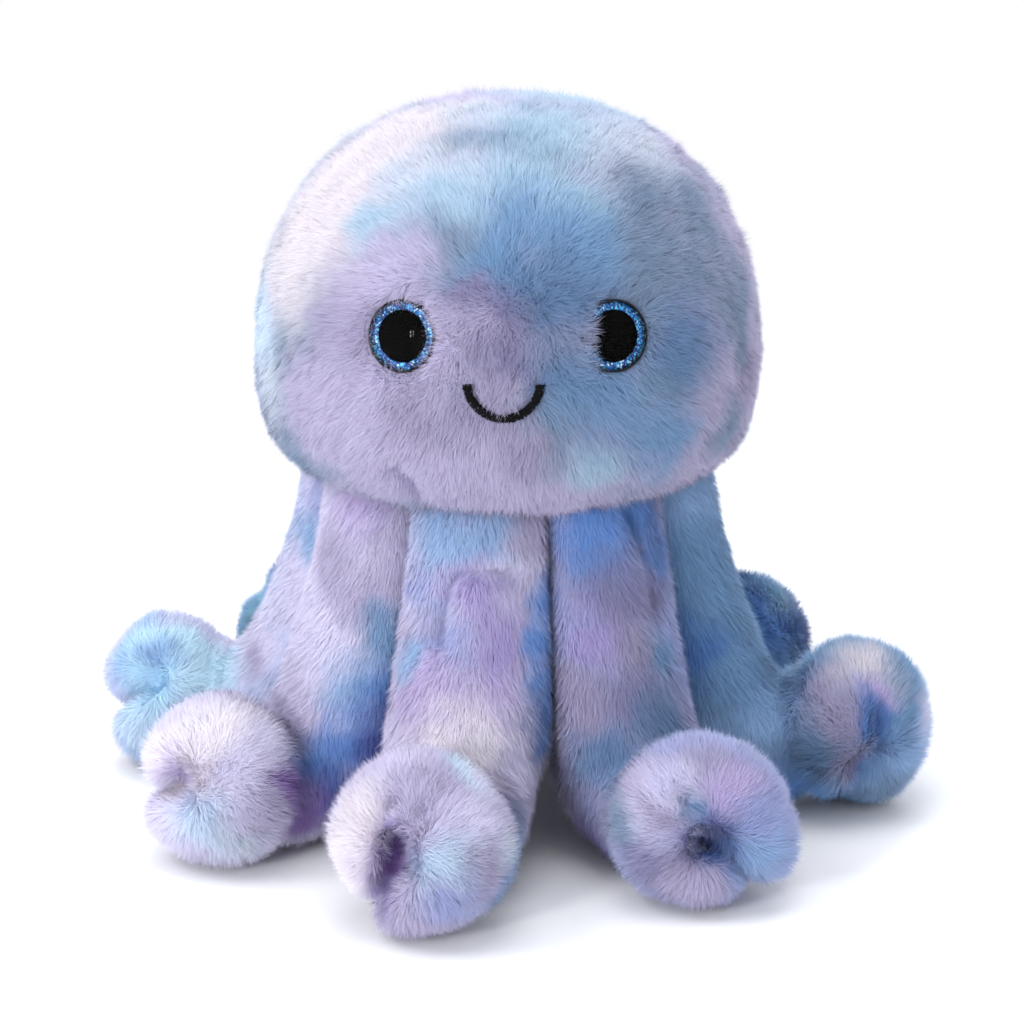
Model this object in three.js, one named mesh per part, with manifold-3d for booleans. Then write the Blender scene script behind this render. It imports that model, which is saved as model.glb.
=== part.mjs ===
// A plush octopus: a squashed ball of a head on a ring of eight stuffed tentacles.
// Millimetres, +Z up, the face looks along -Y. Each tentacle lifts about the seam under the head.

import * as THREE from 'three';
import { mergeVertices } from 'three/addons/utils/BufferGeometryUtils.js';
import Module from 'manifold-3d';

const wasm = await Module();
wasm.setup();

const degree = Math.PI / 180;

// Head: fuller below its widest line than above it
const headRadius = 80;
const headWidestHeight = 147;
const headCrownHeight = 81;
const headJawHeight = 41;
const crownFullness = 2.33;
const jawFullness = 3;
const headSides = 32;
const headRings = 16;

// Trunk: the stuffed middle that the tentacles are sewn around
const trunkTopRadius = 31;
const trunkBottomRadius = 38;
const trunkBottomHeight = 41;
const trunkEdgeRadius = 10;
const trunkSides = 24;

// Base panel: the round of cloth that closes the trunk from below
const panelThickness = 3;
const panelEdgeRadius = 1.4;

// Tentacles: each is a leg that swells and tapers, and a curled tip rolled into a bun
const tentacleCount = 8;
const ringTurn = -9 * degree;
const legRadius = 25;
const legSides = 14;
const legSteps = 10;
const curlReach = 112;
const curlRadius = 29.5;
const curlHalfThickness = 23;
const curlSides = 16;
const curlRings = 10;
const floorFlatDepth = 0.5;

// Eyes: a clear dome over a glitter ring and a black pupil, on a rimmed back with a post
const eyeRadius = 11;
const eyeSpacing = 65.4;
const eyeHeight = 171.4;
const eyeSink = 5;
const eyeBackThickness = 1.2;
const eyeRimWidth = 0.7;
const glitterThickness = 0.8;
const pupilRadius = 7;
const domeHeight = 4.2;
const domeEdgeHeight = 1;
const postRadius = 2.2;
const postLength = 15;
const washerRadius = 7.5;
const washerThickness = 1.6;
const washerDepth = 8;
const eyeSides = 24;

// Smile: a satin-stitched arc of thread
const smileRadius = 11.4;
const smileHeight = 159.5;
const smileOffset = -1;
const smileThread = 1.2;
const smileSpan = 176 * degree;
const smileSteps = 14;
const smileSides = 6;

// Every two pieces that touch keep this gap
const seamGap = 0.3;
const cutOverrun = 20;

// Where the leg's centreline runs, as shares of the curl's reach and of the head's seam height
const legPathShares = [
  { out: 0.30, up: 1.05, thick: 0.86 },
  { out: 0.37, up: 0.90, thick: 0.97 },
  { out: 0.44, up: 0.64, thick: 1.00 },
  { out: 0.52, up: 0.41, thick: 1.03 },
  { out: 0.61, up: 0.26, thick: 1.00 },
  { out: 0.75, up: 0.19, thick: 0.90 },
  { out: 0.92, up: 0.19, thick: 0.74 },
];

// How each tentacle lies: no two were stuffed, rolled and set down alike.
// drift and reach move the curl, roll turns it about its own axis, face and tip aim that axis.
const tentacles = [
  { name: 'front', reachShare: 1.065, driftShare: -0.095, sizeShare: 1.03, face: -14, tip: 4, roll: 0 },
  { name: 'front_right', reachShare: 0.98, driftShare: -0.08, sizeShare: 1.0, face: -24, tip: 0, roll: 80 },
  { name: 'right', reachShare: 1.0, driftShare: -0.045, sizeShare: 1.05, face: -22, tip: -4, roll: 30 },
  { name: 'back_right', reachShare: 0.92, driftShare: 0.02, sizeShare: 0.9, face: 8, tip: 6, roll: 10 },
  { name: 'back', reachShare: 1.02, driftShare: -0.04, sizeShare: 0.96, face: -10, tip: 0, roll: 50 },
  { name: 'back_left', reachShare: 0.99, driftShare: 0.07, sizeShare: 0.95, face: 12, tip: 5, roll: -20 },
  { name: 'left', reachShare: 1.03, driftShare: -0.02, sizeShare: 0.93, face: 18, tip: 18, roll: -10 },
  { name: 'front_left', reachShare: 0.985, driftShare: -0.015, sizeShare: 1.0, face: 16, tip: 4, roll: -35 },
];

// The bun's outline runs from the tip, its least radius, round to its fullest where the leg feeds in
const bunTipShare = 0.78;
const bunNotchAngle = 232 * degree;
const bunNotchDepthShare = 0.2;
const bunNotchWidth = 17 * degree;
const bunDimpleDepthShare = 0.62;
const bunDimpleRadiusShare = 0.36;
const bunCreaseDepthShare = 0.4;
const bunCreaseWidth = 26 * degree;
const bunFarCreaseShare = 0.55;
const bunEdgeFullness = 0.88;

const furs = {
  head: 0xb9bfe0,
  trunk: 0x8fa6d4,
  panel: 0xb4b0dc,
  tentacles: [0xb3b4de, 0x9db0de, 0x7fa6d6, 0x6f95cf, 0xa4acdc, 0x9bb4e0, 0xa9c6ea, 0xb7a9d8],
};

function material(color, roughness, extras = {}) {
  return new THREE.MeshStandardMaterial({ color, roughness, metalness: 0, ...extras });
}

// A closed geometry as a solid that can be joined and cut
function solid(geometry) {
  const bare = geometry.clone();
  bare.deleteAttribute('normal');
  bare.deleteAttribute('uv');
  const merged = mergeVertices(bare);
  const index = merged.index.array;
  const triangles = [];
  for (let i = 0; i < index.length; i += 3) {
    const [a, b, c] = [index[i], index[i + 1], index[i + 2]];
    if (a !== b && b !== c && c !== a) triangles.push(a, b, c);
  }
  return new wasm.Manifold(new wasm.Mesh({
    numProp: 3,
    vertProperties: new Float32Array(merged.attributes.position.array),
    triVerts: new Uint32Array(triangles),
  }));
}

function geometryOf(body) {
  const mesh = body.getMesh();
  const geometry = new THREE.BufferGeometry();
  geometry.setAttribute('position', new THREE.BufferAttribute(new Float32Array(mesh.vertProperties), 3));
  geometry.setIndex(new THREE.BufferAttribute(new Uint32Array(mesh.triVerts), 1));
  geometry.computeVertexNormals();
  return geometry;
}

function named(name, geometry, finish) {
  const mesh = new THREE.Mesh(geometry, finish);
  mesh.name = name;
  return mesh;
}

// A turned shape about the upright axis, from (radius, height) points
function turned(points, sides) {
  const profile = points.map(([radius, height]) => new THREE.Vector2(radius, height));
  return new THREE.LatheGeometry(profile, sides).rotateX(Math.PI / 2);
}

// The head's radius at a height, and its outline grown outwards by a clearance
function headRadiusAt(height) {
  const above = height > headWidestHeight;
  const reach = above ? headCrownHeight : headJawHeight;
  const fullness = above ? crownFullness : jawFullness;
  const share = Math.min(1, Math.abs(height - headWidestHeight) / reach);
  return headRadius * (1 - share ** fullness) ** (1 / fullness);
}

function headForm(clearance) {
  const points = [];
  for (let ring = 0; ring <= headRings; ring++) {
    const slope = Math.PI * (ring / headRings - 0.5);
    const above = slope > 0;
    const fullness = above ? crownFullness : jawFullness;
    const reach = (above ? headCrownHeight : headJawHeight) + clearance;
    const out = ring % headRings === 0 ? 0 : Math.abs(Math.cos(slope)) ** (2 / fullness);
    const up = Math.sign(slope) * Math.abs(Math.sin(slope)) ** (2 / fullness);
    points.push([(headRadius + clearance) * out, headWidestHeight + reach * up]);
  }
  return turned(points, headSides);
}

// The height of the seam where a tentacle's outside meets the head
const seamRadius = legRadius + curlReach * legPathShares[1].out;
const seamHeight = headWidestHeight
  - headJawHeight * (1 - (seamRadius / headRadius) ** jawFullness) ** (1 / jawFullness);

function trunkForm(clearance) {
  const bottomRadius = trunkBottomRadius + clearance;
  const bottom = trunkBottomHeight - clearance;
  const roundSteps = 4;
  const points = [[0, bottom]];
  for (let step = 0; step <= roundSteps; step++) {
    const angle = Math.PI / 2 * step / roundSteps;
    points.push([
      bottomRadius - trunkEdgeRadius * (1 - Math.sin(angle)),
      bottom + trunkEdgeRadius * (1 - Math.cos(angle)),
    ]);
  }
  points.push([trunkTopRadius + clearance, seamHeight], [0, seamHeight]);
  return turned(points, trunkSides);
}

// A flat round pad with a rounded edge, standing from its bottom height up to its thickness
function pad(radius, thickness, edge, bottom, sides) {
  const edgeSteps = 3;
  const points = [[0, bottom]];
  for (let step = 0; step <= edgeSteps; step++) {
    const angle = Math.PI / 2 * step / edgeSteps;
    points.push([radius - edge * (1 - Math.sin(angle)), bottom + edge * (1 - Math.cos(angle))]);
  }
  for (let step = edgeSteps; step >= 0; step--) {
    const angle = Math.PI / 2 * step / edgeSteps;
    points.push([radius - edge * (1 - Math.sin(angle)), bottom + thickness - edge * (1 - Math.cos(angle))]);
  }
  points.push([0, bottom + thickness]);
  return turned(points, sides);
}

// The base panel lies against the trunk from below
function panelForm(clearance) {
  const radius = trunkBottomRadius - trunkEdgeRadius / 2 + clearance;
  const thickness = panelThickness + 2 * clearance;
  const bottom = trunkBottomHeight - seamGap - panelThickness - clearance;
  return pad(radius, thickness, panelEdgeRadius, bottom, trunkSides);
}

// The slice of the ring that belongs to one tentacle, from the ground up, seen along +X
function sliceForm() {
  const half = Math.PI / tentacleCount;
  const apex = seamGap / 2 / Math.sin(half);
  const far = 2 * curlReach;
  const corner = (far - apex) * Math.tan(half);
  const outline = new THREE.Shape([
    new THREE.Vector2(apex, 0),
    new THREE.Vector2(far, -corner),
    new THREE.Vector2(far, corner),
  ]);
  return new THREE.ExtrudeGeometry(outline, { depth: headWidestHeight, bevelEnabled: false });
}

// A tentacle's leg in its own frame: +X outwards from the middle, +Z up. A turned spindle
// with round ends is bent along the centreline.
function legForm(lie) {
  const points = legPathShares.map((share) => new THREE.Vector3(
    curlReach * share.out * (1 + (lie.reachShare - 1) * share.out),
    curlReach * lie.driftShare * share.out ** 2,
    seamHeight * share.up,
  ));
  const centreline = new THREE.CatmullRomCurve3(points, false, 'centripetal');
  const thick = new THREE.CatmullRomCurve3(
    legPathShares.map((share, at) => new THREE.Vector3(at, legRadius * share.thick, 0)),
    false,
    'centripetal',
  );
  const stations = [0, 0.01];
  for (let step = 1; step < legSteps; step++) stations.push(step / legSteps);
  stations.push(0.985, 1);
  const last = stations.length - 1;
  const profile = stations.map((station, at) => {
    const radius = thick.getPoint(station).y;
    const rounding = at === 0 || at === last ? 0 : (at === 1 || at === last - 1 ? 0.75 : 1);
    return new THREE.Vector2(radius * rounding, at);
  });
  const spindle = new THREE.LatheGeometry(profile, legSides);
  const place = spindle.attributes.position;
  const side = new THREE.Vector3(0, 1, 0);
  const vertex = new THREE.Vector3();
  for (let i = 0; i < place.count; i++) {
    vertex.fromBufferAttribute(place, i);
    const station = stations[Math.round(vertex.y)];
    const tangent = centreline.getTangent(station);
    const lateral = side.clone().addScaledVector(tangent, -side.dot(tangent)).normalize();
    const across = new THREE.Vector3().crossVectors(tangent, lateral);
    const moved = centreline.getPoint(station)
      .addScaledVector(across, vertex.x)
      .addScaledVector(lateral, vertex.z);
    place.setXYZ(i, moved.x, moved.y, moved.z);
  }
  return spindle;
}

// How far an angle is from another, from 0 to half a turn
function angleBetween(a, b) {
  return Math.abs(Math.atan2(Math.sin(a - b), Math.cos(a - b)));
}

// A curled tip in its own frame: a ball drawn into a bun about +X, with a dimple and a crease
// on its outer face and a notch where the tip ends. The leg feeds into its back.
function bunForm(size) {
  const ball = new THREE.SphereGeometry(1, curlSides, curlRings).rotateZ(-Math.PI / 2);
  const place = ball.attributes.position;
  for (let i = 0; i < place.count; i++) {
    const [along, right, up] = [place.getX(i), place.getY(i), place.getZ(i)];
    const out = Math.hypot(right, up);
    const angle = Math.atan2(up, right);
    const turnShare = ((bunNotchAngle - angle) / (2 * Math.PI) % 1 + 1) % 1;
    const growth = bunTipShare + (1 - bunTipShare) * Math.sin(turnShare * Math.PI / 2);
    const toNotch = angleBetween(angle, bunNotchAngle);
    const notch = 1 - bunNotchDepthShare * Math.exp(-((toNotch / bunNotchWidth) ** 2));
    const radius = size * curlRadius * growth * notch * out ** bunEdgeFullness;
    const near = Math.exp(-((toNotch / bunCreaseWidth) ** 2));
    const far = Math.exp(-((angleBetween(angle, bunNotchAngle + Math.PI) / bunCreaseWidth) ** 2));
    const crease = bunCreaseDepthShare * (near + bunFarCreaseShare * far) * out;
    const dimple = bunDimpleDepthShare * Math.exp(-((out / bunDimpleRadiusShare) ** 2));
    const drawnIn = along > 0 ? Math.max(crease, dimple) : 0;
    const thickness = size * curlHalfThickness * along * (1 - drawnIn);
    place.setXYZ(i, thickness, radius * Math.cos(angle), radius * Math.sin(angle));
  }
  return ball;
}

// Where a bun's axis, side and roll lie in the tentacle's frame
function placedBun(lie) {
  const bun = bunForm(lie.sizeShare);
  bun.rotateX(lie.roll * degree);
  bun.rotateY(-lie.tip * degree);
  bun.rotateZ(lie.face * degree);
  bun.computeBoundingBox();
  const lift = -bun.boundingBox.min.z - floorFlatDepth;
  return bun.translate(curlReach * lie.reachShare, curlReach * lie.driftShare, lift);
}

function tentacle(lie, turn) {
  const headCut = solid(headForm(seamGap).rotateZ(-turn));
  const trunkCut = solid(trunkForm(seamGap).rotateZ(-turn));
  const panelCut = solid(panelForm(seamGap).rotateZ(-turn));
  const whole = solid(legForm(lie)).add(solid(placedBun(lie))).intersect(solid(sliceForm()));
  return geometryOf(whole.subtract(headCut).subtract(trunkCut).subtract(panelCut));
}

// One eye's pieces about +Z, its back plate's rear face at height zero
function eyePieces() {
  const face = eyeBackThickness;
  const inside = eyeRadius - eyeRimWidth;
  const rimTop = face + glitterThickness + domeEdgeHeight;
  const back = turned([
    [0, -postLength],
    [postRadius, -postLength],
    [postRadius, 0],
    [eyeRadius, 0],
    [eyeRadius, rimTop],
    [inside, rimTop],
    [inside, face],
    [0, face],
  ], eyeSides);
  const ringInside = pupilRadius + seamGap;
  const ringOutside = inside - seamGap;
  const ringBottom = face + seamGap;
  const ringTop = face + glitterThickness;
  const glitter = turned([
    [ringInside, ringBottom],
    [ringOutside, ringBottom],
    [ringOutside, ringTop],
    [ringInside, ringTop],
    [ringInside, ringBottom],
  ], eyeSides);
  const pupil = turned([
    [0, ringBottom],
    [pupilRadius, ringBottom],
    [pupilRadius, ringTop],
    [0, ringTop],
  ], eyeSides);
  const domeBottom = ringTop + seamGap;
  const domeEdge = rimTop;
  const domePoints = [[0, domeBottom], [ringOutside, domeBottom]];
  const domeSteps = 6;
  for (let step = 0; step <= domeSteps; step++) {
    const angle = Math.PI / 2 * step / domeSteps;
    const out = step === domeSteps ? 0 : ringOutside * Math.cos(angle);
    domePoints.push([out, domeEdge + (domeHeight - domeEdgeHeight) * Math.sin(angle)]);
  }
  const dome = turned(domePoints, eyeSides);
  const washerInside = postRadius + seamGap;
  const washer = turned([
    [washerInside, -washerDepth - washerThickness],
    [washerRadius, -washerDepth - washerThickness],
    [washerRadius, -washerDepth],
    [washerInside, -washerDepth],
    [washerInside, -washerDepth - washerThickness],
  ], eyeSides);
  return { back, glitter, pupil, dome, washer };
}

// The room that an eye takes up in the head: a seat in the pile, the post's hole and the washer's place
function eyeSeat() {
  const seatRadius = eyeRadius + seamGap;
  const holeRadius = postRadius + seamGap;
  const pocketRadius = washerRadius + seamGap;
  return turned([
    [0, -postLength - seamGap],
    [holeRadius, -postLength - seamGap],
    [holeRadius, -washerDepth - washerThickness - seamGap],
    [pocketRadius, -washerDepth - washerThickness - seamGap],
    [pocketRadius, -washerDepth + seamGap],
    [holeRadius, -washerDepth + seamGap],
    [holeRadius, -seamGap],
    [seatRadius, -seamGap],
    [seatRadius, cutOverrun],
    [0, cutOverrun],
  ], eyeSides);
}

// A group whose +Z looks squarely out of the head at one eye, sunk into the pile
function eyeFrame(side) {
  const across = side * eyeSpacing / 2;
  const radius = headRadiusAt(eyeHeight);
  const forward = -Math.sqrt(radius ** 2 - across ** 2);
  const step = headRadius / headRings;
  const slope = (headRadiusAt(eyeHeight + step) - headRadiusAt(eyeHeight - step)) / (2 * step);
  const normal = new THREE.Vector3(across / radius, forward / radius, -slope).normalize();
  const frame = new THREE.Group();
  frame.position.set(across, forward, eyeHeight).addScaledVector(normal, -eyeSink);
  frame.quaternion.setFromUnitVectors(new THREE.Vector3(0, 0, 1), normal);
  frame.updateMatrixWorld();
  return frame;
}

// The smile follows a half circle laid on the front of the head
class SmileCurve extends THREE.Curve {
  getPoint(share, target = new THREE.Vector3()) {
    const angle = -Math.PI / 2 + smileSpan * (share - 0.5);
    const across = smileOffset + smileRadius * Math.cos(angle);
    const height = smileHeight + smileRadius * Math.sin(angle);
    const radius = headRadiusAt(height);
    return target.set(across, -Math.sqrt(radius ** 2 - across ** 2), height);
  }
}

function smileForm(thread) {
  const section = new THREE.Shape();
  section.absarc(0, 0, thread, 0, 2 * Math.PI, false);
  return new THREE.ExtrudeGeometry(section, {
    steps: smileSteps,
    curveSegments: smileSides,
    extrudePath: new SmileCurve(),
  });
}

const toy = new THREE.Group();

const eyeFrames = { left: eyeFrame(-1), right: eyeFrame(1) };

function addHead() {
  let body = solid(headForm(0));
  for (const frame of Object.values(eyeFrames)) {
    body = body.subtract(solid(eyeSeat().applyMatrix4(frame.matrixWorld)));
  }
  body = body.subtract(solid(smileForm(smileThread + seamGap)));
  toy.add(named('head', geometryOf(body), material(furs.head, 0.95)));
}

function addEyes() {
  const finishes = {
    back: material(0x101014, 0.25),
    glitter: material(0x2f7fc4, 0.3),
    pupil: material(0x050507, 0.15),
    dome: material(0xeef4ff, 0.03, { transparent: true, opacity: 0.3 }),
    washer: material(0xf2f2ee, 0.5),
  };
  for (const [side, frame] of Object.entries(eyeFrames)) {
    for (const [piece, geometry] of Object.entries(eyePieces())) {
      frame.add(named(`eye_${side}_${piece}`, geometry, finishes[piece]));
    }
    toy.add(frame);
  }
}

function addSmile() {
  toy.add(named('smile_stitching', smileForm(smileThread), material(0x101012, 0.55)));
}

function addTrunk() {
  const body = solid(trunkForm(0)).subtract(solid(headForm(seamGap)));
  toy.add(named('trunk', geometryOf(body), material(furs.trunk, 0.95)));
  toy.add(named('base_panel', panelForm(0), material(furs.panel, 0.9)));
}

// Tentacle frames have +X outwards, and the ring starts at the front and goes to the viewer's right
function addTentacles() {
  tentacles.forEach((lie, at) => {
    const turn = -Math.PI / 2 + ringTurn + at * 2 * Math.PI / tentacleCount;
    const ring = new THREE.Group();
    ring.rotation.z = turn;
    ring.add(named(`tentacle_${lie.name}`, tentacle(lie, turn), material(furs.tentacles[at], 0.95)));
    toy.add(ring);
  });
}

addHead();
addEyes();
addSmile();
addTrunk();
addTentacles();

// The origin lies on the ground, under the middle of the whole toy's footprint
const middle = new THREE.Box3().setFromObject(toy, true).getCenter(new THREE.Vector3());
toy.position.set(-middle.x, -middle.y, 0);

const octopus = new THREE.Group();
octopus.add(toy);

export default octopus;
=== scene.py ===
import math

import bmesh
import bpy
import numpy as np
from mathutils import Matrix, Vector


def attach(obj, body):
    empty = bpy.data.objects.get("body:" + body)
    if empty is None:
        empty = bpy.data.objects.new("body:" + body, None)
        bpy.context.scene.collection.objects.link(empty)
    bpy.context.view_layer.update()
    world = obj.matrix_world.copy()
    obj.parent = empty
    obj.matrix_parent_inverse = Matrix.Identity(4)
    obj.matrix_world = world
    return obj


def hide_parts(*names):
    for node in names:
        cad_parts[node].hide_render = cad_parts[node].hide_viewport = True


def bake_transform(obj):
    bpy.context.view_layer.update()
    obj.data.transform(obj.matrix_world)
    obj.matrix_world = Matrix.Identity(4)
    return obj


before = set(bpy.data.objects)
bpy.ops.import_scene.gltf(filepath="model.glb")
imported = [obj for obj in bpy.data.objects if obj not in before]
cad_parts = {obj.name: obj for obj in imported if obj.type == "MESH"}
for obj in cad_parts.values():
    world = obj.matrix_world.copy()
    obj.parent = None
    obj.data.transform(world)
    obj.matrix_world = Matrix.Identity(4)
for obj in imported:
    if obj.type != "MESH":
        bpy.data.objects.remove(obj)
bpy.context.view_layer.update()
mm = 0.001
toyMiddle = Vector((-0.448, 3.105, 0.0)) * mm  # where the head's upright axis stands


def linear(hexColour):
    parts = [int(hexColour[i:i + 2], 16) / 255 for i in (1, 3, 5)]
    return tuple(c / 12.92 if c <= 0.04045 else ((c + 0.055) / 1.055) ** 2.4 for c in parts) + (1.0,)


def addNode(tree, kind, inputs=None, **settings):
    node = tree.nodes.new(kind)
    for name, value in settings.items():
        setattr(node, name, value)
    for name, value in (inputs or {}).items():
        if isinstance(value, bpy.types.NodeSocket):
            tree.links.new(value, node.inputs[name])
        else:
            node.inputs[name].default_value = value
    return node


def mathNode(tree, operation, first, second):
    return addNode(tree, "ShaderNodeMath", {0: first, 1: second}, operation=operation).outputs[0]


def vectorNode(tree, operation, first, second=None):
    inputs = {0: first}
    if second is not None:
        inputs["Scale" if operation == "SCALE" else 1] = second
    node = addNode(tree, "ShaderNodeVectorMath", inputs, operation=operation)
    return node.outputs["Value" if operation in ("DISTANCE", "DOT_PRODUCT", "LENGTH") else "Vector"]


def mixColours(tree, share, first, second):
    return addNode(tree, "ShaderNodeMix", {0: share, 6: first, 7: second}, data_type="RGBA").outputs[2]


# A texture of a size in millimetres, at a linked place
def texture(tree, kind, place, size, **sockets):
    return addNode(tree, "ShaderNodeTex" + kind, {"Vector": place, "Scale": 1 / (size * mm), **sockets})


def remap(tree, value, fromRange=(0.0, 1.0), toRange=(0.0, 1.0), smooth=False):
    inputs = {"Value": value, "From Min": fromRange[0], "From Max": fromRange[1], "To Min": toRange[0], "To Max": toRange[1]}
    return addNode(tree, "ShaderNodeMapRange", inputs, interpolation_type="SMOOTHSTEP" if smooth else "LINEAR").outputs[0]


def axisOf(tree, vector, axis):
    return addNode(tree, "ShaderNodeSeparateXYZ", {0: vector}).outputs[axis]


def attributeOf(tree, name, output="Fac"):
    return addNode(tree, "ShaderNodeAttribute", attribute_name=name).outputs[output]


def objectPlace(tree):
    return addNode(tree, "ShaderNodeTexCoord").outputs["Object"]


def newMaterial(name):
    material = bpy.data.materials.new(name)
    material.use_nodes = True
    material.node_tree.nodes.clear()
    return material, material.node_tree


def finishMaterial(tree, shader):
    addNode(tree, "ShaderNodeOutputMaterial", {"Surface": shader.outputs[0]})


def finishPrincipled(tree, sockets):
    finishMaterial(tree, addNode(tree, "ShaderNodeBsdfPrincipled", sockets))


def addObject(name, data):
    piece = bpy.data.objects.new(name, data)
    bpy.context.scene.collection.objects.link(piece)
    return piece


def pieceFromBmesh(bm, name, material):
    mesh = bpy.data.meshes.new(name)
    bm.to_mesh(mesh)
    bm.free()
    for polygon in mesh.polygons:
        polygon.use_smooth = True
    mesh.materials.append(material)
    return addObject(name, mesh)


def applyModifiers(piece):
    bpy.context.view_layer.update()
    settled = bpy.data.meshes.new_from_object(piece.evaluated_get(bpy.context.evaluated_depsgraph_get()))
    old = piece.data
    piece.modifiers.clear()
    piece.data = settled
    settled.name = old.name
    bpy.data.meshes.remove(old)


def readFrom(data, field, count, kind):
    values = np.empty(count, kind)
    data.foreach_get(field, values)
    return values


def placesOf(mesh):
    return readFrom(mesh.vertices, "co", len(mesh.vertices) * 3, np.float32).reshape(-1, 3).astype(float)


def normalsOf(mesh):
    return readFrom(mesh.vertex_normals, "vector", len(mesh.vertices) * 3, np.float32).reshape(-1, 3).astype(float)


def movePlaces(mesh, places):
    mesh.vertices.foreach_set("co", places.astype(np.float32).ravel())
    mesh.update()


def storeOnPoints(mesh, name, values):
    kind, field = ("FLOAT_VECTOR", "vector") if values.ndim == 2 else ("FLOAT", "value")
    attribute = mesh.attributes.new(name, kind, "POINT")
    attribute.data.foreach_set(field, values.astype(np.float32).ravel())


def unit(vectors):
    return vectors / np.maximum(np.linalg.norm(vectors, axis=-1, keepdims=True), 1e-9)


def ramp(values, low, high):  # smooth step from 0 at low to 1 at high
    share = np.clip((values - low) / (high - low), 0, 1)
    return share * share * (3 - 2 * share)


def bump(distance, width):
    return np.exp(-(distance / width) ** 2)


# Turns directions flat on the cover, and keeps them from growing too short there
def alongCover(directions, normals, least=0.55):
    flat = directions - (directions * normals).sum(axis=1)[:, None] * normals
    size = np.linalg.norm(flat, axis=1)[:, None]
    return flat * (np.clip(size, least, 1.1) / np.maximum(size, 0.02))


# How near each place is to a line of points, from 0 to 1. What lies above the line by no more than the given
# height counts as on it.
def nearLine(places, points, width, above=0.0):
    line = np.array(points, float)
    nearest = np.full(len(places), 1e9)
    for start, end in zip(line[:-1], line[1:]):
        step = end - start
        share = np.clip((places - start) @ step / (step @ step), 0, 1)
        nearest = np.minimum(nearest, np.linalg.norm(places - start - share[:, None] * step, axis=1))
    return bump(np.sqrt(np.maximum(nearest ** 2 - above ** 2, 0)), width)


# Stores what the pile needs to know at each point of a cover
def storePile(mesh, nap, tall=1.0, density=1.0, fold=0.0, tumble=0.5):
    count = len(mesh.vertices)
    storeOnPoints(mesh, "nap", nap)
    # foldDepth is how much painted shade the dye gets at a point, in folds and other places in shade
    stored = {"pileLength": tall, "pileDensity": density, "foldDepth": fold, "tumble": tumble, "alongFibre": 0.0}
    for name, values in stored.items():
        storeOnPoints(mesh, name, np.zeros(count) + values)


# The camera stands where the photograph was taken from
camera = {"place": (-0.197, -1103.613, 454.458), "pitch": 18.0717, "yaw": 0.0535, "lens": 126.67}
cameraData = bpy.data.cameras.new("camera")
cameraData.lens = camera["lens"]
cameraData.sensor_width = 36
cameraData.clip_start, cameraData.clip_end = 0.05, 30
cameraObject = addObject("camera", cameraData)
cameraObject.location = Vector(camera["place"]) * mm
cameraObject.rotation_euler = (math.radians(90 - camera["pitch"]), 0, math.radians(-camera["yaw"]))
bpy.context.scene.camera = cameraObject
print("camera placed")


# The dyes. Cloth like this is dyed in soft cloudy patches that run into each other along the pile.
dyes = {
    "white": "#f0eaf3", "blush": "#dfd8e0", "frost": "#ccd4e3", "lilac": "#dfdbf2", "lavender": "#bfb8d5", "mauve": "#aaa3c1",
    "violet": "#918db3", "orchid": "#b3a5d6", "rose": "#cabce3", "plum": "#8d6db4", "periwinkle": "#a9b2dd", "ice": "#d0e3f6",
    "azure": "#d3f2ff", "powder": "#adc8dc", "sky": "#9fbfe4", "blue": "#7ba2c9", "denim": "#6c8eb6", "slate": "#8398b3",
    "cornflower": "#6f9fe0", "deepBlue": "#5f8bca", "navy": "#5062ac",
}

pile = {
    "length": 5.8, "rootWidth": 0.23, "height": 2.2, "perSquareMillimetre": 7.8,
    "lean": 1.4, "swirl": 2.6, "swirlSize": 13.0, "tuftPull": 0.34, "tuftSize": 1.7, "lockPull": 0.5, "lockSize": 6.0,
    "stray": 0.5, "coverShare": 0.66,
}
dye = {
    "cloudSize": 46, "wanderSize": 24, "wander": 26,  # sizes of the ground's clouds and of the patches' ragged edges
    "core": 0.2, "edge": 1.5, "strength": 0.92,  # where a patch starts and ends to fade, in shares of its radius
    "rootDepth": 0.32, "deepening": 1.8,  # how much darker the colour is painted towards the roots: partly stronger dye, partly painted shade down in the pile
}
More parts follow.
